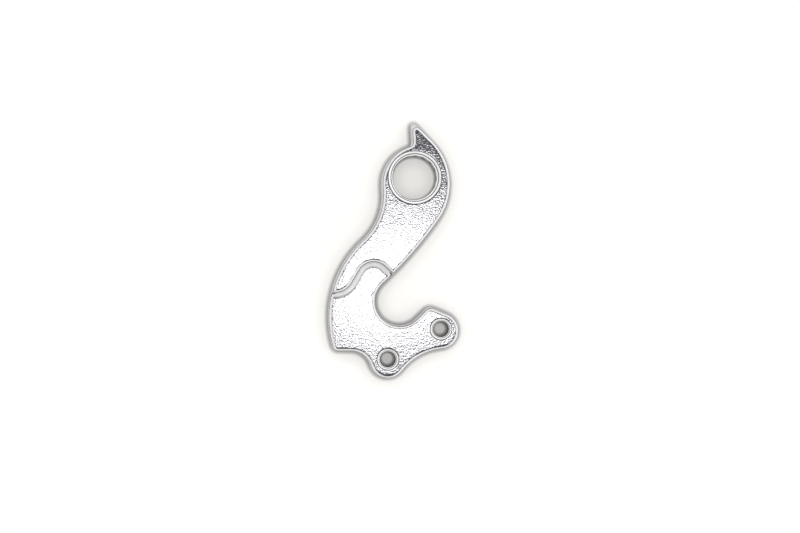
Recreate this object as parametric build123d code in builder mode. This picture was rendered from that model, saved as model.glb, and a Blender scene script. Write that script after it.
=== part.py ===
"""A bicycle's derailleur hanger, cast in one piece.

The hanger lies on its flat back, at z = 0, with its stepped front up. The origin is on the axis of the
derailleur's thread, and +Y points from the axle slot to the head. Lengths are in millimetres.
"""

import os
from collections import namedtuple
from math import acos, atan2, cos, isclose, pi, radians, sin, sqrt, tan

from build123d import *

# Thicknesses and drafts
FOOT_THICKNESS = 4.8
STEP_HEIGHT = 2.2
SIDE_DRAFT = 2.0
STEP_DRAFT = 8.0

# Edges: the rounded ones are at most this share of the sharpest corner that they run round
EDGE_RADIUS = 0.5
EDGE_SHARE = 0.8
STEP_ROOT_RADIUS = 1.0
BACK_EDGE_CHAMFER = 0.3

# Derailleur thread, M10 x 1, drilled for tapping
THREAD_BORE = 9.0
THREAD_BEVEL = 0.8

# Head round the thread, with a thick back and a thin flank
BACK_WALL = 2.95
BACK_RADIUS = 12.6
BACK_Y = -1.3
FLANK_WALL = 1.78
FLANK_RADIUS = 8.1
FLANK_ANGLE = 136.0

# Stop tooth on the head, whose tip is set back and rounder at the front
TOOTH_ROOT_X = -0.6
TOOTH_ROOT_RADIUS = 0.6
TIP_X = -0.75
TIP_BACK_RADIUS = 0.6
TIP_BACK_ANGLE = 43.2
TIP_FRONT_RADIUS = 0.9
TIP_FRONT_ANGLE = 46.5

# Slot for the wheel's axle, seen from the thread
AXLE_X = -3.0
AXLE_Y = -25.25
SLOT_WIDTH = 9.7
SLOT_ANGLE = 45.0
ARM_EDGE_RADIUS = 80.0
NECK_RADIUS = 12.5

# Foot, seen from the axle
FOOT_LEFT_X = -14.65
FOOT_LEFT_Y = -3.25
FOOT_LEFT_RADIUS = 21.6
FOOT_BOTTOM_Y = -10.2
FOOT_CORNER_RADIUS = 1.1

# Frame screws, M4, drilled for tapping in a lobe and an ear of the foot, seen from the axle
SCREW_BORE = 3.3
SCREW_BEVEL = 0.55
LOBE_X = -2.4
LOBE_Y = -11.75
LOBE_WALL = 2.15
LOBE_DROP = 0.25
LOBE_HOLLOW_RADIUS = 4.1
EAR_X = 8.45
EAR_Y = -5.6
EAR_WALL = 2.15
EAR_DROP = 0.4
EAR_HOLLOW_RADIUS = 11.7
EAR_SIDE = 2.55
EAR_CORNER_RADIUS = 1.6

# Wavy step between arm and foot, seen from the axle
STEP_DIP_X = -10.8
STEP_DIP_Y = 1.65
STEP_DIP_RADIUS = 4.1
STEP_CREST_X = -6.1
STEP_CREST_Y = 9.8
STEP_CREST_RADIUS = 3.2
STEP_FALL_ANGLE = 43.5

# Full angle of the bevels at the holes' mouths
BEVEL_ANGLE = 90.0

# A disc that the outline runs round. Its bend is its radius, positive where the disc is metal and the
# outline bulges, negative where the disc is a hollow.
Disc = namedtuple("Disc", "centre bend")


def heading(degrees):
    """The direction at this angle from +X."""
    return Vector(cos(radians(degrees)), sin(radians(degrees)))


def blend(first, second, bend):
    """The disc of this bend that touches two others, outside the metal if it is a hollow."""
    gap = second.centre - first.centre
    first_reach = abs(first.bend - bend)
    second_reach = abs(second.bend - bend)
    along = (first_reach**2 - second_reach**2 + gap.length**2) / (2 * gap.length)
    across = sqrt(first_reach**2 - along**2)
    outward = Vector(gap.Y, -gap.X).normalized() * (-1 if bend > 0 else 1)
    return Disc(first.centre + gap.normalized() * along + outward * across, bend)


def tooth_tip(head_back, radius, edge_angle, inset):
    """The tip's disc, between the tooth's inner side and the head's tangent that faces this angle."""
    normal = heading(edge_angle)
    tip_x = TIP_X + inset + radius
    edge = head_back.bend - inset - radius - normal.X * (tip_x - head_back.centre.X)
    return Disc(Vector(tip_x, head_back.centre.Y + edge / normal.Y), radius)


def straight(first, second):
    """The ends of the line that leaves the first disc and meets the second, one point if they touch."""
    gap = second.centre - first.centre
    share = (first.bend - second.bend) / gap.length
    touching = isclose(abs(share), 1)
    normal_angle = atan2(gap.Y, gap.X) - acos(round(share) if touching else share)
    normal = Vector(cos(normal_angle), sin(normal_angle))
    leave = first.centre + normal * first.bend
    meet = second.centre + normal * second.bend
    return leave, leave if touching else meet


def belt(discs):
    """Draw the closed line that runs anticlockwise round the discs, as a belt runs round pulleys."""
    runs = [straight(first, second) for first, second in zip(discs, discs[1:] + discs[:1])]
    for disc, (_, start), (end, _) in zip(discs, runs[-1:] + runs[:-1], runs):
        turn = 1 if disc.bend > 0 else -1
        start_angle = atan2(start.Y - disc.centre.Y, start.X - disc.centre.X)
        end_angle = atan2(end.Y - disc.centre.Y, end.X - disc.centre.X)
        sweep = turn * ((turn * (end_angle - start_angle)) % (2 * pi))
        middle_angle = start_angle + sweep / 2
        middle = Vector(cos(middle_angle), sin(middle_angle)) * abs(disc.bend)
        ThreePointArc(start, disc.centre + middle, end)
    for leave, meet in runs:
        if leave != meet:
            Line(leave, meet)


def drill(centre, front, bore, bevel):
    """Drill a hole right through, with a bevelled mouth at the front and at the back."""
    front_mouth = Location((centre.X, centre.Y, front))
    back_mouth = Location((centre.X, centre.Y, 0), (180, 0, 0))
    with Locations(front_mouth, back_mouth):
        CounterSinkHole(bore / 2, bore / 2 + bevel, depth=front, counter_sink_angle=BEVEL_ANGLE)


arm_thickness = FOOT_THICKNESS + STEP_HEIGHT
front_inset = arm_thickness * tan(radians(SIDE_DRAFT))
bore_radius = THREAD_BORE / 2
screw_radius = SCREW_BORE / 2
axle = Vector(AXLE_X, AXLE_Y)
lobe_hole = axle + Vector(LOBE_X, LOBE_Y)
ear_hole = axle + Vector(EAR_X, EAR_Y)

# Head and the root of its tooth
back = Disc(Vector(bore_radius + BACK_WALL - BACK_RADIUS, BACK_Y), BACK_RADIUS)
flank_offset = FLANK_RADIUS - bore_radius - FLANK_WALL
flank = Disc(heading(FLANK_ANGLE) * -flank_offset, FLANK_RADIUS)
root_x = TOOTH_ROOT_X - TOOTH_ROOT_RADIUS
root_reach = FLANK_RADIUS + TOOTH_ROOT_RADIUS
root_y = flank.centre.Y + sqrt(root_reach**2 - (root_x - flank.centre.X) ** 2)
tooth_root = Disc(Vector(root_x, root_y), -TOOTH_ROOT_RADIUS)

# Arm and axle slot
slot = Disc(axle, -SLOT_WIDTH / 2)
arm_edge = blend(slot, back, ARM_EDGE_RADIUS)
left = Disc(axle + Vector(FOOT_LEFT_X + FOOT_LEFT_RADIUS, FOOT_LEFT_Y), FOOT_LEFT_RADIUS)
neck = blend(flank, left, -NECK_RADIUS)

# Lobe and ear
lobe = Disc(lobe_hole - Vector(0, LOBE_DROP), screw_radius + LOBE_WALL)
ear = Disc(ear_hole - Vector(0, EAR_DROP), screw_radius + EAR_WALL)
ear_hollow = blend(lobe, ear, -EAR_HOLLOW_RADIUS)
slot_side = heading(SLOT_ANGLE) * EAR_SIDE
slot_lip = heading(SLOT_ANGLE - 90) * (SLOT_WIDTH / 2 + EAR_CORNER_RADIUS)
ear_corner = Disc(axle + slot_side + slot_lip, EAR_CORNER_RADIUS)

# Foot's straight bottom, between its corner and the hollow beside the lobe
foot_bottom = axle.Y + FOOT_BOTTOM_Y
corner_y = foot_bottom + FOOT_CORNER_RADIUS
corner_reach = FOOT_LEFT_RADIUS - FOOT_CORNER_RADIUS
corner_x = left.centre.X - sqrt(corner_reach**2 - (corner_y - left.centre.Y) ** 2)
foot_corner = Disc(Vector(corner_x, corner_y), FOOT_CORNER_RADIUS)
hollow_y = foot_bottom - LOBE_HOLLOW_RADIUS
hollow_reach = lobe.bend + LOBE_HOLLOW_RADIUS
hollow_x = lobe.centre.X - sqrt(hollow_reach**2 - (hollow_y - lobe.centre.Y) ** 2)
lobe_hollow = Disc(Vector(hollow_x, hollow_y), -LOBE_HOLLOW_RADIUS)

# Outlines of the back and, drawn in by the draft, of the front, anticlockwise from the tooth
outline = [tooth_root, flank, neck, left, foot_corner, lobe_hollow, lobe, ear_hollow, ear, ear_corner]
outline += [slot, arm_edge, back]
back_outline = outline + [tooth_tip(back, TIP_BACK_RADIUS, TIP_BACK_ANGLE, 0)]
front_outline = [Disc(disc.centre, disc.bend - front_inset) for disc in outline]
front_outline += [tooth_tip(back, TIP_FRONT_RADIUS, TIP_FRONT_ANGLE, front_inset)]

# Rounded edges, limited by the step's height and the sharpest bulge of the front
sharpest = min(disc.bend for disc in front_outline if disc.bend > 0)
edge_radius = min(EDGE_RADIUS, STEP_HEIGHT / 4, EDGE_SHARE * sharpest)
step_root_radius = min(STEP_ROOT_RADIUS, STEP_HEIGHT / 2)

# Foot of the step, from beyond the left side into the axle slot
beyond = 2 * FOOT_LEFT_RADIUS
step_dip = axle + Vector(STEP_DIP_X, STEP_DIP_Y)
step_crest = axle + Vector(STEP_CREST_X, STEP_CREST_Y)
step_start = Vector(axle.X - beyond, step_dip.Y)
step_end = Vector(axle.X, step_crest.Y + STEP_CREST_X * tan(radians(STEP_FALL_ANGLE)))

with BuildPart() as hanger:
    # The whole outline as thick as the arm
    with BuildSketch():
        with BuildLine():
            belt(back_outline)
        make_face()
    with BuildSketch(Plane.XY.offset(arm_thickness)):
        with BuildLine():
            belt(front_outline)
        make_face()
    loft(ruled=True)

    # The thinner foot, below the wavy step
    with BuildSketch(Plane.XY.offset(FOOT_THICKNESS)):
        with BuildLine():
            FilletPolyline(
                step_start, step_dip, step_crest, step_end, radius=[STEP_DIP_RADIUS, STEP_CREST_RADIUS]
            )
            Polyline(
                step_end,
                step_end + Vector(beyond, 0),
                step_end + Vector(beyond, -beyond),
                step_start + Vector(0, -beyond),
                step_start,
            )
        make_face()
    extrude(amount=STEP_HEIGHT, taper=-STEP_DRAFT, mode=Mode.SUBTRACT)

    # The step's root
    foot_face = hanger.faces().filter_by(Axis.Z).sort_by(Axis.Z)[1]
    raised = hanger.faces().filter_by(lambda face: face.bounding_box().min.Z > FOOT_THICKNESS / 2)
    step_edges = (raised - [foot_face]).edges()
    fillet(foot_face.edges().filter_by(lambda edge: edge in step_edges), step_root_radius)

    # The rim between the side walls and all that faces up, and the step's brow
    raised = hanger.faces().filter_by(lambda face: face.bounding_box().min.Z > FOOT_THICKNESS / 2)
    side_edges = (hanger.faces() - raised).edges()
    raised_edges = raised.edges()
    front_edges = hanger.faces().sort_by(Axis.Z)[-1].edges()
    rim = hanger.edges().filter_by(
        lambda edge: edge in front_edges or (edge in raised_edges and edge in side_edges)
    )
    fillet(rim, edge_radius)

    # The back's edge
    chamfer(hanger.faces().sort_by(Axis.Z)[0].edges(), BACK_EDGE_CHAMFER)

    # Holes for the derailleur's bolt and the frame screws
    drill(Vector(0, 0), arm_thickness, THREAD_BORE, THREAD_BEVEL)
    drill(lobe_hole, FOOT_THICKNESS, SCREW_BORE, SCREW_BEVEL)
    drill(ear_hole, FOOT_THICKNESS, SCREW_BORE, SCREW_BEVEL)

hanger.part.label = "hanger"
os.makedirs("parts", exist_ok=True)
export_step(hanger.part, "parts/hanger.step")
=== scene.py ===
"""Looks of a cast derailleur hanger: one tumbled aluminium casting with three tapped holes.

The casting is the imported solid's own form in a finer skin, with softened edges, threads and
rounded mouths in the holes, a faint relief and one dent. Its form is made in millimetres and
becomes metres when the relief and the dent go in.
"""
import math

import bmesh
import bpy
import numpy as np
from mathutils import Matrix, Vector, noise


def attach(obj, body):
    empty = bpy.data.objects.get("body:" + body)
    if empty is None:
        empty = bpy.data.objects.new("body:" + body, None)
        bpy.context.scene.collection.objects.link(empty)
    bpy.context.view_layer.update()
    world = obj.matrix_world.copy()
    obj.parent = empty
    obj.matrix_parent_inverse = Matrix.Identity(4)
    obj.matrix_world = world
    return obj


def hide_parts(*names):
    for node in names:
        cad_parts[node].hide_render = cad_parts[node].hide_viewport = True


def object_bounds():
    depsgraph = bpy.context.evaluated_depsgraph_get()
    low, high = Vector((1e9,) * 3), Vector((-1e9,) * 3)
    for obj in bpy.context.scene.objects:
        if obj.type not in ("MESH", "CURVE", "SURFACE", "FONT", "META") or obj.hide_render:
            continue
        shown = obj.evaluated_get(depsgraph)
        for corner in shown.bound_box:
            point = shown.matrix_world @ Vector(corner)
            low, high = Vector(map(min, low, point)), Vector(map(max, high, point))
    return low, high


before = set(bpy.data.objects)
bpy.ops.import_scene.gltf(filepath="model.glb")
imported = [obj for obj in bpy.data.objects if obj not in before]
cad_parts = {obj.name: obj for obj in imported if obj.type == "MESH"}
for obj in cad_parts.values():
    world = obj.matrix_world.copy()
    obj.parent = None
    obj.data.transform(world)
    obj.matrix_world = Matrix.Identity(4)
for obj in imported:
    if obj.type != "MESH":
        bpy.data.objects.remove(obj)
cad_low, cad_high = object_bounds()

MM = 0.001
NODE = "hanger"

# The three tapped holes: where they are, how high the metal stands there, their threads, and how
# wide their mouths' bevel is and how far its outer edge is rounded.
HEAD_TOP = cad_high.z / MM
FOOT_TOP = 4.8
HEAD_HOLE = {
    "place": (0.0, 0.0),
    "top": HEAD_TOP,
    "bore": 9.0,
    "thread": 10.0,
    "pitch": 1.0,
    "bevel": 0.8,
    "round": 0.2,
}
LOBE_HOLE = {
    "place": (-5.4, -37.0),
    "top": FOOT_TOP,
    "bore": 3.3,
    "thread": 4.0,
    "pitch": 0.7,
    "bevel": 0.45,
    "round": 0.2,
}
EAR_HOLE = {**LOBE_HOLE, "place": (5.45, -30.85)}
HOLES = (HEAD_HOLE, LOBE_HOLE, EAR_HOLE)

# The holes' mouths: their rings as shares of the bevel, the slopes between the rings in degrees,
# and the width and depth of the fine line around them.
LIP_RINGS = (1.0, 0.52, 0.3, -0.08)
LIP_SLOPES = (36.0, 70.0, 32.0)
LIP_TILT = math.radians(LIP_SLOPES[0])
LIP_LINE = 0.16
LIP_SINK = 0.02

# The cutters: how far they stand out of the metal, their rows to a pitch and to a rounding, the
# width of a face, the thread's flats as shares of the pitch, and how soft the thread's ends are.
TAP_OVERSHOOT = 0.3
TAP_ROWS = 16
ARC_ROWS = 6
TAP_EDGE = 0.22
ROOT_FLAT = 0.125
CREST_FLAT = 0.25
CREASE = 0.04
ROW_GAP = 0.02

# The skin of the casting: the size of its cells, how often it is evened out and then softened,
# and what counts as one point or as a sliver.
SKIN_CELL = 0.2
EVEN_ROUNDS = 4
SOFT_ROUNDS = 7
SOFT_SHARE = 0.5
MOUTH_SLACK = 0.15
WELD = 0.0002
SLIVER = 0.002

# The skin's relief, its wear and painted shade, and the angle in degrees from which a cut edge is sharp.
RELIEF_SIZE = 1.1
RELIEF_DEPTH = 0.003
RELIEF_CALM = 0.5
WEAR_ROUNDS = 6
WEAR_REACH = 0.05
SHARP_ANGLE = 27

# The dent in the slot's rim.
AXLE = (-3.0, -25.25)
DENT_ANGLE = 166.5
DENT_REACH = 5.15
DENT_LENGTH = 0.75
DENT_DEPTH = 0.22

# The cast metal. A band is where a ramp begins and ends, and a pair of tones or of roughnesses is
# for the two ends of the patches' ramp. The steep band and the band of the rim's painted dark
# reflection are in flatness, which is 0 on a wall and 1 on the front. The proud, worn, hollow and
# dull bands are in how far a point stands out, the measure that sets wear and painted shade.
GRAIN_ROUGHNESS = 0.5
PATCH_SIZE = 3.5
PATCH_DETAIL = 3.0
PATCH_BAND = (0.3, 0.7)
FRONT_TONES = ((0.83, 0.83, 0.845), (0.89, 0.89, 0.895))
SIDE_TONES = ((0.58, 0.58, 0.59), (0.68, 0.68, 0.685))
# Where the rim turns to the wall it takes a very dark tone: a painted dark reflection.
DARK_REFLECTION_TONES = ((0.1, 0.1, 0.11), (0.15, 0.15, 0.155))
STEEP_BAND = (0.56, 0.78)
DARK_REFLECTION_BAND = (0.22, 0.36)
PROUD_BAND = (0.36, 0.48)
PEBBLE_SIZE = 0.29
PEBBLE_DETAIL = 1.0
PEBBLE_HEIGHT = 0.0155
PEBBLE_MIDDLE = 0.5
WORN_BAND = (0.58, 0.85)
# The pebbled skin's pits are darker: painted shade.
PIT_SHADE_BAND = (0.36, 0.48)
PIT_SHADE_SHARE = 0.16
PIT_SHADE_COLOUR = (0.3, 0.3, 0.31)
# Hollows and creases are a little darker: painted shade.
HOLLOW_SHADE_BAND = (0.15, 0.4)
HOLLOW_SHADE_SHARE = 0.05
HOLLOW_SHADE_COLOUR = (0.2, 0.2, 0.21)
FRONT_ROUGHNESS = (0.06, 0.1)
WALL_ROUGHNESS = 0.35
DULL_BAND = (0.28, 0.46)
DULL_ROUGHNESS = 0.3

# The cut metal in the holes: tone and roughness of each kind, and how they vary. The thread metal
# is dark, for painted shade in the threads and in a steep ring of each mouth, and the edge metal is
# darker still, for a painted dark reflection along each mouth's fine line.
CUT_METALS = {
    "bevel_aluminium": (0.94, 0.09),
    "thread_shade_aluminium": (0.36, 0.2),
    "line_reflection_aluminium": (0.19, 0.3),
}
BEVEL_SLOT, THREAD_SHADE_SLOT, LINE_REFLECTION_SLOT = 1, 2, 3
CUT_PATCH_SIZE = 1.5
CUT_TONES = (-0.04, 0.04)
CUT_ROUGHNESS = (-0.03, 0.05)
CUT_MARK_SIZE = 0.12
CUT_MARK_HEIGHT = 0.002
CUT_DETAIL = 2.0

# The photograph's camera.
CAMERA_PLACE = (-22.5, -18.0, 437.0)
CAMERA_AIM = (-3.04, -18.07, 7.0)
CAMERA_LENS = 95.5
CAMERA_NEAR = 10.0

# The light: a white tent that is a little brighter low down and to one side, with a dark gap along
# Y across its top, and a turned softbox overhead.
TENT_COLOUR = (1.0, 1.0, 1.0)
TENT_LEVEL = 0.98
TENT_FOOT = 0.04
TENT_FALL = 2.0
TENT_SLANT = (0.08, 0.06, 0.0)
GAP_COLOUR = (0.085, 0.082, 0.1)
GAP_X = 0.05
GAP_ACROSS = (0.13, 0.22)
GAP_ALONG = (-0.68, -0.38, 0.3, 0.42)
LAMP_HEIGHT = 600.0
LAMP_SIZE = (82.0, 66.0)
LAMP_TURN = 12.0
LAMP_CENTRE = (19.4, -25.0)
LAMP_RADIANCE = 2.2

# The floor: its paint, the glow that makes it white, and the two shadows that dim the glow.
FLOOR_COLOUR = (0.51, 0.503, 0.489)
FLOOR_GLOW = 0.635
GLOW_COLOUR = (1.0, 0.982, 0.955)
CONTACT_REACH = 0.95
CONTACT_POWER = 3.5
SHADE_REACH = 3.2
SHADE_SHARE = 0.5
SHADE_SAMPLES = 16
FLOOR_SIZE = 6000.0
FLOOR_GAP = 0.02


def shown(name, mesh):
    """A new object for a mesh, in the scene."""
    thing = bpy.data.objects.new(name, mesh)
    bpy.context.scene.collection.objects.link(thing)
    return thing


def baked(thing):
    """The mesh of an object with its modifiers, as a mesh of its own. The object goes."""
    settled = thing.evaluated_get(bpy.context.evaluated_depsgraph_get())
    mesh = bpy.data.meshes.new_from_object(settled)
    bpy.data.objects.remove(thing)
    return mesh


def table_of(items, name, width, kind=float):
    """One property of all of a mesh's points, edges or faces, one row each."""
    flat = np.empty(len(items) * width, dtype=kind)
    items.foreach_get(name, flat)
    return flat.reshape(-1, width)


def mouth_radius(hole):
    """The outer radius of a hole's bevel."""
    return hole["bore"] / 2 + hole["bevel"]


def lip(hole):
    """The depths and radii of the corners of a hole's mouth, from the front inwards."""
    radii = hole["bore"] / 2 + hole["bevel"] * np.array(LIP_RINGS)
    falls = -np.diff(radii) * np.tan(np.radians(LIP_SLOPES))
    return np.concatenate([[0.0], np.cumsum(falls)]), radii


def rounded_radius(hole):
    """How far out the rounding of a hole's mouth begins."""
    return mouth_radius(hole) + hole["round"] * math.tan(LIP_TILT / 2)


def from_axis(points, hole):
    """How far each point is from a hole's axis."""
    return np.hypot(points[..., 0] - hole["place"][0], points[..., 1] - hole["place"][1])


def smooth_step(share):
    """A share that is held between 0 and 1 and starts and ends gently."""
    share = np.clip(share, 0, 1)
    return share * share * (3 - 2 * share)


def solid_without_holes():
    """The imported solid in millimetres, welded, with its three plain bores filled up."""
    form = bmesh.new()
    form.from_mesh(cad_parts[NODE].data)
    bmesh.ops.scale(form, vec=(1 / MM,) * 3, verts=form.verts)
    bmesh.ops.remove_doubles(form, verts=form.verts, dist=WELD)
    inside = set()
    for hole in HOLES:
        limit = mouth_radius(hole) + MOUTH_SLACK
        for face in form.faces:
            spots = np.array([vert.co for vert in face.verts])
            if from_axis(spots, hole).max() < limit:
                inside.add(face)
    bmesh.ops.delete(form, geom=list(inside), context="FACES")
    rims = [edge for edge in form.edges if edge.is_boundary]
    bmesh.ops.holes_fill(form, edges=rims, sides=0)
    bmesh.ops.triangulate(form, faces=[face for face in form.faces if len(face.verts) > 4])
    mesh = bpy.data.meshes.new("solid")
    form.to_mesh(mesh)
    form.free()
    return mesh


def even_skin(solid):
    """The same form with small faces of even size, set on the solid and then softened a little."""
    target = shown("target", solid)
    skin = shown("skin", solid.copy())
    cells = skin.modifiers.new("cells", "REMESH")
    cells.mode = "VOXEL"
    cells.voxel_size = SKIN_CELL
    for rounds in (EVEN_ROUNDS, SOFT_ROUNDS):
        fit = skin.modifiers.new("fit", "SHRINKWRAP")
        fit.wrap_method = "NEAREST_SURFACEPOINT"
        fit.target = target
        soft = skin.modifiers.new("soft", "SMOOTH")
        soft.factor = SOFT_SHARE
        soft.iterations = rounds
    mesh = baked(skin)
    bpy.data.objects.remove(target)
    return mesh


def tap(hole):
    """What a drill, a countersink and a tap take out of one hole, as a closed cutter."""
    bore, pitch, top = hole["bore"], hole["pitch"], hole["top"]
    rows = math.ceil((top + 2 * TAP_OVERSHOOT) / pitch * TAP_ROWS)
    around = math.ceil(math.pi * bore / TAP_EDGE)
    arc = LIP_SINK + hole["round"] * (1 - np.cos(np.linspace(0, LIP_TILT, ARC_ROWS + 1)))
    levels = np.linspace(-TAP_OVERSHOOT, top + TAP_OVERSHOOT, rows + 1)
    between = (levels > arc[-1] + ROW_GAP) & (levels < top - arc[-1] - ROW_GAP)
    mouth_rows = np.concatenate([[0.0], arc])
    heights = np.concatenate(
        [levels[:1], mouth_rows, levels[between], (top - mouth_rows)[::-1], levels[-1:]]
    )
    height, turn = np.meshgrid(heights, np.arange(around) / around, indexing="ij")
    off_root = np.abs((height / pitch - turn) % 1 - 0.5)
    root, crest = ROOT_FLAT / 2, 0.5 - CREST_FLAT / 2
    groove = smooth_step((crest - off_root) / (crest - root))
    depth = np.minimum(height, top - height)
    lip_depths, lip_radii = lip(hole)
    groove *= smooth_step((depth - lip_depths[2]) / pitch)
    thread = bore / 2 + groove * (hole["thread"] - bore) / 2
    bevel = np.interp(depth - LIP_SINK, lip_depths, lip_radii)
    rounding = hole["round"] - np.clip(depth - LIP_SINK, 0, arc[-1] - LIP_SINK)
    edge = rounded_radius(hole) - np.sqrt(hole["round"] ** 2 - rounding ** 2)
    line = rounded_radius(hole) + LIP_LINE * np.clip(1 - depth / LIP_SINK, 0, 1)
    mouth = np.where(depth < LIP_SINK, line, np.where(depth < arc[-1], edge, bevel))
    radius = (thread + mouth + np.hypot(thread - mouth, CREASE)) / 2
    x = hole["place"][0] + radius * np.cos(turn * math.tau)
    y = hole["place"][1] + radius * np.sin(turn * math.tau)
    number = np.arange(x.size).reshape(x.shape)
    across = np.roll(number, -1, axis=1)
    sides = np.stack([number[:-1], across[:-1], across[1:], number[1:]], axis=-1).reshape(-1, 4)
    faces = [*sides.tolist(), number[0][::-1].tolist(), number[-1].tolist()]
    mesh = bpy.data.meshes.new("tap")
    mesh.from_pydata(np.stack([x, y, height], axis=-1).reshape(-1, 3).tolist(), [], faces)
    return mesh


def tapped(skin):
    """The skin with the three holes cut out of it, without the slivers that the cuts leave."""
    body = shown("body", skin)
    cutters = [shown("cutter", tap(hole)) for hole in HOLES]
    for cutter in cutters:
        cut = body.modifiers.new("cut", "BOOLEAN")
        cut.operation = "DIFFERENCE"
        cut.solver = "MANIFOLD"
        cut.object = cutter
    mesh = baked(body)
    for cutter in cutters:
        bpy.data.objects.remove(cutter)
    form = bmesh.new()
    form.from_mesh(mesh)
    bmesh.ops.triangulate(form, faces=form.faces)
    bmesh.ops.dissolve_degenerate(form, dist=SLIVER, edges=form.edges)
    form.to_mesh(mesh)
    form.free()
    return mesh


def weathered(mesh):
    """Moves the mesh's points for the uneven cast skin and for the dent, and turns it to metres."""
    points = table_of(mesh.vertices, "co", 3)
    normals = table_of(mesh.vertices, "normal", 3)
    calm = np.ones(len(points))
    for hole in HOLES:
        calm *= smooth_step((from_axis(points, hole) - mouth_radius(hole)) / RELIEF_CALM)
    waves = np.array([noise.noise(Vector(point) / RELIEF_SIZE) for point in points])
    moved = points + normals * (waves * calm * RELIEF_DEPTH)[:, None]
    angle = math.radians(DENT_ANGLE)
    outward = np.array([math.cos(angle), math.sin(angle), 0.0])
    dent = np.array([*AXLE, FOOT_TOP]) + outward * DENT_REACH
    press = smooth_step(1 - np.linalg.norm(points - dent, axis=1) / DENT_LENGTH)
    push = (outward - np.array([0.0, 0.0, 1.0])) / math.sqrt(2)
    moved += push * (press * DENT_DEPTH)[:, None]
    mesh.vertices.foreach_set("co", (moved * MM).ravel())
    mesh.update()


def mark_wear_and_shade(mesh):
    """Notes how far each point stands out of its surroundings, from 0 in a hollow to 1 on an edge."""
    points = table_of(mesh.vertices, "co", 3) / MM
    normals = table_of(mesh.vertices, "normal", 3)
    ends = table_of(mesh.edges, "vertices", 2, np.int64)
    here, there = np.concatenate([ends, ends[:, ::-1]]).T
    count = np.bincount(here, minlength=len(points))[:, None]
    calm = points
    for _ in range(WEAR_ROUNDS):
        total = [np.bincount(here, weights=along, minlength=len(points)) for along in calm[there].T]
        calm = (calm + np.stack(total, axis=1) / count) / 2
    proud = ((points - calm) * normals).sum(axis=1)
    # This measure sets the skin's wear, and where shade is painted in hollows and along the rim.
    wear_and_shade = mesh.attributes.new("wear_and_shade", "FLOAT", "POINT")
    wear_and_shade.data.foreach_set("value", np.clip(0.5 + proud / WEAR_REACH / 2, 0, 1))


def mark_holes(mesh):
    """Gives the holes' fine lines, bevels and threads their own materials, with painted shade and
    reflection.
    """
    centres = table_of(mesh.polygons, "center", 3) / MM
    slots = np.zeros(len(mesh.polygons), dtype=np.int32)
    for hole in HOLES:
        reach = from_axis(centres, hole)
        depth = np.minimum(centres[:, 2], hole["top"] - centres[:, 2])
        depths, radii = lip(hole)
        # A steep ring in each mouth and the threads get the dark thread metal: painted shade.
        shaded_ring = (reach < radii[1]) & (reach > radii[2])
        below_mouth = (reach < radii[0]) & (depth > depths[3])
        # The fine line around each mouth gets the darkest metal: a painted dark reflection.
        slots[reach < rounded_radius(hole) + LIP_LINE] = LINE_REFLECTION_SLOT
        slots[reach < rounded_radius(hole)] = BEVEL_SLOT
        slots[shaded_ring | below_mouth] = THREAD_SHADE_SLOT
    mesh.polygons.foreach_set("material_index", slots)


def crease_holes(mesh):
    """Keeps the edges in the holes sharp, and the cast skin smooth all over."""
    form = bmesh.new()
    form.from_mesh(mesh)
    for edge in form.edges:
        cut = any(face.material_index for face in edge.link_faces)
        edge.smooth = not (cut and edge.calc_face_angle(0.0) > math.radians(SHARP_ANGLE))
    for face in form.faces:
        face.smooth = True
    form.to_mesh(mesh)
    form.free()


class Nodes:
    """A material's or world's node tree, with short ways to add and join nodes."""

    # A Mix node's colour sockets share their names with its others, so they go by number.
    FIRST_COLOUR, SECOND_COLOUR, MIXED_COLOUR = 6, 7, 2

    def __init__(self, owner):
        owner.use_nodes = True
        self.tree = owner.node_tree
        self.tree.nodes.clear()

    def add(self, kind, inputs=None, **settings):
        """A new node, with its settings made and its inputs plugged."""
        node = self.tree.nodes.new(kind)
        for name, value in settings.items():
            setattr(node, name, value)
        for name, value in (inputs or {}).items():
            self.plug(node.inputs[name], value)
        return node

    def plug(self, socket, value):
        """Joins another node's output to a socket, or sets the socket to a plain value."""
        if isinstance(value, bpy.types.NodeSocket):
            self.tree.links.new(value, socket)
        else:
            socket.default_value = value

    def ramp(self, factor, places, colours):
        """A colour ramp with a grey or a colour at each place."""
        node = self.add("ShaderNodeValToRGB", {"Fac": factor})
        band = node.color_ramp.elements
        while len(band) < len(places):
            band.new(1.0)
        for element, place, colour in zip(band, places, colours):
            element.position = place
            element.color = (*colour, 1.0) if isinstance(colour, tuple) else (colour, colour, colour, 1.0)
        return node.outputs["Color"]

    def mix(self, share, first, second):
        """A colour between two."""
        inputs = {"Factor": share, self.FIRST_COLOUR: first, self.SECOND_COLOUR: second}
        return self.add("ShaderNodeMix", inputs, data_type="RGBA").outputs[self.MIXED_COLOUR]

    def mix_value(self, share, first, second):
        """A number between two."""
        inputs = {"Factor": share, "A": first, "B": second}
        return self.add("ShaderNodeMix", inputs, data_type="FLOAT").outputs["Result"]

    def maths(self, operation, *values):
        """A sum, product or other result of numbers."""
        return self.add("ShaderNodeMath", dict(enumerate(values)), operation=operation).outputs[0]

    def grain(self, where, size, detail):
        """Noise whose lumps are about that many millimetres across."""
        inputs = {
            "Vector": where,
            "Scale": 1 / (size * MM),
            "Detail": detail,
            "Roughness": GRAIN_ROUGHNESS,
        }
        return self.add("ShaderNodeTexNoise", inputs).outputs["Fac"]

    def metal(self, colour, roughness, height, depth):
        """Ends a material as bare metal with a bump that is that many millimetres deep."""
        bump = self.add("ShaderNodeBump", {"Height": height, "Strength": 1.0, "Distance": depth * MM})
        inputs = {
            "Base Color": colour,
            "Metallic": 1.0,
            "Roughness": roughness,
            "Normal": bump.outputs["Normal"],
        }
        shader = self.add("ShaderNodeBsdfPrincipled", inputs)
        self.add("ShaderNodeOutputMaterial", {"Surface": shader.outputs["BSDF"]})


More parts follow.
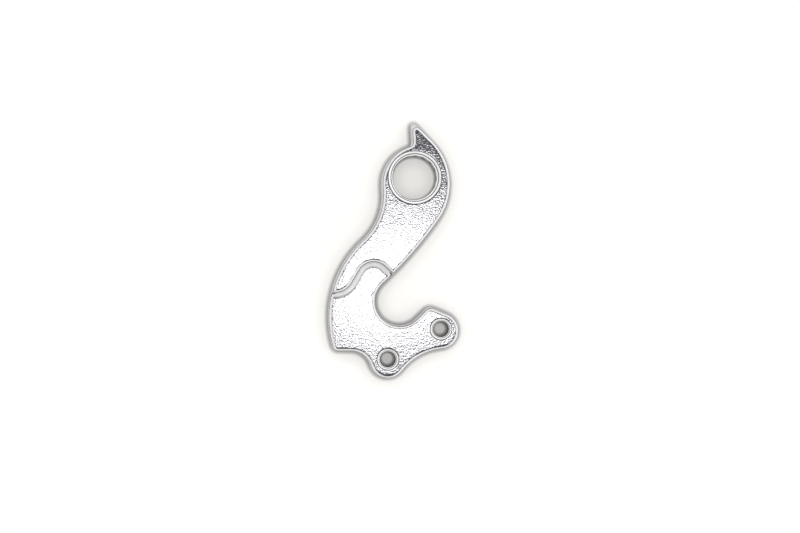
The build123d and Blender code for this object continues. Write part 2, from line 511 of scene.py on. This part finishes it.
def cast_metal():
    """Bright tumbled aluminium with a fine pebbled skin, and painted shade and a painted dark reflection.
    """
    material = bpy.data.materials.new("cast_aluminium")
    nodes = Nodes(material)
    place = nodes.add("ShaderNodeTexCoord").outputs
    wear_and_shade = nodes.add("ShaderNodeAttribute", attribute_name="wear_and_shade").outputs["Fac"]
    pebbles = nodes.grain(place["Object"], PEBBLE_SIZE, PEBBLE_DETAIL)
    patches = nodes.grain(place["Object"], PATCH_SIZE, PATCH_DETAIL)
    facing = nodes.add("ShaderNodeSeparateXYZ", {0: place["Normal"]}).outputs["Z"]
    flatness = nodes.maths("ABSOLUTE", facing)
    steep = nodes.ramp(flatness, STEEP_BAND, (1.0, 0.0))
    wall = nodes.maths("MULTIPLY", steep, nodes.ramp(wear_and_shade, PROUD_BAND, (0.0, 1.0)))
    front = nodes.ramp(patches, PATCH_BAND, FRONT_TONES)
    side = nodes.ramp(patches, PATCH_BAND, SIDE_TONES)
    # A very dark tone where the rim turns to the wall: a painted dark reflection.
    turn = nodes.ramp(patches, PATCH_BAND, DARK_REFLECTION_TONES)
    edge = nodes.mix(nodes.ramp(flatness, DARK_REFLECTION_BAND, (0.0, 1.0)), side, turn)
    tone = nodes.mix(wall, front, edge)
    # Darker in the pits of the pebbled skin: painted shade.
    pit_shade = nodes.ramp(pebbles, PIT_SHADE_BAND, (PIT_SHADE_SHARE, 0.0))
    skin = nodes.mix(pit_shade, tone, (*PIT_SHADE_COLOUR, 1.0))
    # A little darker in hollows and creases: painted shade.
    hollow_shade = nodes.ramp(wear_and_shade, HOLLOW_SHADE_BAND, (HOLLOW_SHADE_SHARE, 0.0))
    colour = nodes.mix(hollow_shade, skin, (*HOLLOW_SHADE_COLOUR, 1.0))
    polish = nodes.mix_value(wall, nodes.ramp(patches, PATCH_BAND, FRONT_ROUGHNESS), WALL_ROUGHNESS)
    roughness = nodes.maths("ADD", polish, nodes.ramp(wear_and_shade, DULL_BAND, (DULL_ROUGHNESS, 0.0)))
    height = nodes.mix_value(nodes.ramp(wear_and_shade, WORN_BAND, (0.0, 1.0)), pebbles, PEBBLE_MIDDLE)
    nodes.metal(colour, roughness, height, PEBBLE_HEIGHT)
    return material


def cut_metal(name, tone, rough):
    """The countersunk and tapped holes' metal: bare on the bevels, painted darker for shade and
    reflection.
    """
    material = bpy.data.materials.new(name)
    nodes = Nodes(material)
    where = nodes.add("ShaderNodeTexCoord").outputs["Object"]
    marks = nodes.grain(where, CUT_MARK_SIZE, CUT_DETAIL)
    patches = nodes.grain(where, CUT_PATCH_SIZE, CUT_DETAIL)
    colour = nodes.ramp(patches, PATCH_BAND, [tone + change for change in CUT_TONES])
    roughness = nodes.ramp(patches, PATCH_BAND, [rough + change for change in CUT_ROUGHNESS])
    nodes.metal(colour, roughness, marks, CUT_MARK_HEIGHT)
    return material


def casting():
    """The hanger itself."""
    mesh = tapped(even_skin(solid_without_holes()))
    weathered(mesh)
    mesh.materials.clear()
    mesh.materials.append(cast_metal())
    for name, (tone, rough) in CUT_METALS.items():
        mesh.materials.append(cut_metal(name, tone, rough))
    mark_wear_and_shade(mesh)
    mark_holes(mesh)
    crease_holes(mesh)
    piece = shown("cast_hanger", mesh)
    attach(piece, "root")
    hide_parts(NODE)


def floor():
    """A plain white floor, a little warm in its shadows."""
    material = bpy.data.materials.new("white_floor")
    nodes = Nodes(material)
    rays = nodes.add("ShaderNodeLightPath").outputs
    mirrored = nodes.maths("MAXIMUM", rays["Is Glossy Ray"], rays["Is Transmission Ray"])
    seen = nodes.maths("MAXIMUM", rays["Is Camera Ray"], mirrored)
    contact, shade = (
        nodes.add("ShaderNodeAmbientOcclusion", {"Distance": reach * MM}, samples=SHADE_SAMPLES)
        for reach in (CONTACT_REACH, SHADE_REACH)
    )
    near = nodes.maths("POWER", contact.outputs["AO"], CONTACT_POWER)
    wide = nodes.maths("MULTIPLY_ADD", shade.outputs["AO"], SHADE_SHARE, 1 - SHADE_SHARE)
    lit = nodes.maths("MULTIPLY", nodes.maths("MULTIPLY", near, wide), FLOOR_GLOW)
    strength = nodes.maths("MULTIPLY", seen, lit)
    paint = nodes.add("ShaderNodeBsdfDiffuse", {"Color": (*FLOOR_COLOUR, 1.0)})
    glow = nodes.add("ShaderNodeEmission", {"Color": (*GLOW_COLOUR, 1.0), "Strength": strength})
    both = nodes.add("ShaderNodeAddShader", {0: paint.outputs[0], 1: glow.outputs[0]})
    nodes.add("ShaderNodeOutputMaterial", {"Surface": both.outputs[0]})
    half = FLOOR_SIZE / 2
    plan = ((-half, -half), (half, -half), (half, half), (-half, half))
    corners = [(x * MM, y * MM, -FLOOR_GAP * MM) for x, y in plan]
    mesh = bpy.data.meshes.new("floor")
    mesh.from_pydata(corners, [], [(0, 1, 2, 3)])
    mesh.materials.append(material)
    shown("floor", mesh)


def tent():
    """Soft white light from all sides, with the dark gap across its top."""
    world = bpy.data.worlds.new("tent")
    bpy.context.scene.world = world
    nodes = Nodes(world)
    where = nodes.add("ShaderNodeTexCoord").outputs["Generated"]
    way = nodes.add("ShaderNodeSeparateXYZ", {0: where}).outputs
    aside = nodes.maths("ABSOLUTE", nodes.maths("SUBTRACT", way["X"], GAP_X))
    across = nodes.ramp(aside, GAP_ACROSS, (1.0, 0.0))
    ends = [(1 + place) / 2 for place in GAP_ALONG]
    shift = nodes.maths("MULTIPLY_ADD", way["Y"], 0.5, 0.5)
    along = nodes.ramp(shift, ends, (0.0, 1.0, 1.0, 0.0))
    above = nodes.maths("GREATER_THAN", way["Z"], 0.0)
    gap = nodes.maths("MULTIPLY", nodes.maths("MULTIPLY", across, along), above)
    colour = nodes.mix(gap, (*TENT_COLOUR, 1.0), (*GAP_COLOUR, 1.0))
    slanted = nodes.add("ShaderNodeVectorMath", {0: where, 1: TENT_SLANT}, operation="DOT_PRODUCT")
    low = nodes.maths("POWER", nodes.maths("SUBTRACT", 1.0, way["Z"]), TENT_FALL)
    foot = nodes.maths("MULTIPLY_ADD", low, TENT_FOOT, TENT_LEVEL)
    level = nodes.maths("ADD", slanted.outputs["Value"], foot)
    light = nodes.add("ShaderNodeBackground", {"Color": colour, "Strength": level})
    nodes.add("ShaderNodeOutputWorld", {"Surface": light.outputs[0]})


def lamp():
    """The softbox overhead, which the flat arm and foot mirror."""
    data = bpy.data.lights.new("lamp", "AREA")
    data.shape = "RECTANGLE"
    data.size, data.size_y = (length * MM for length in LAMP_SIZE)
    data.energy = LAMP_RADIANCE * math.pi * data.size * data.size_y
    thing = bpy.data.objects.new("lamp", data)
    thing.location = Vector((*LAMP_CENTRE, LAMP_HEIGHT)) * MM
    thing.rotation_euler.z = math.radians(LAMP_TURN)
    thing.visible_camera = False
    bpy.context.scene.collection.objects.link(thing)


def camera():
    """Above the hanger, a little to its left, as in the photograph."""
    data = bpy.data.cameras.new("camera")
    data.lens = CAMERA_LENS
    data.clip_start = CAMERA_NEAR * MM
    thing = bpy.data.objects.new("camera", data)
    place, aim = Vector(CAMERA_PLACE) * MM, Vector(CAMERA_AIM) * MM
    back = (place - aim).normalized()
    right = Vector((0, 1, 0)).cross(back).normalized()
    turn = Matrix((right, back.cross(right), back)).transposed()
    thing.matrix_world = Matrix.Translation(place) @ turn.to_4x4()
    bpy.context.scene.collection.objects.link(thing)
    bpy.context.scene.camera = thing


bpy.context.scene.view_settings.view_transform = "Standard"
casting()
floor()
tent()
lamp()
camera()
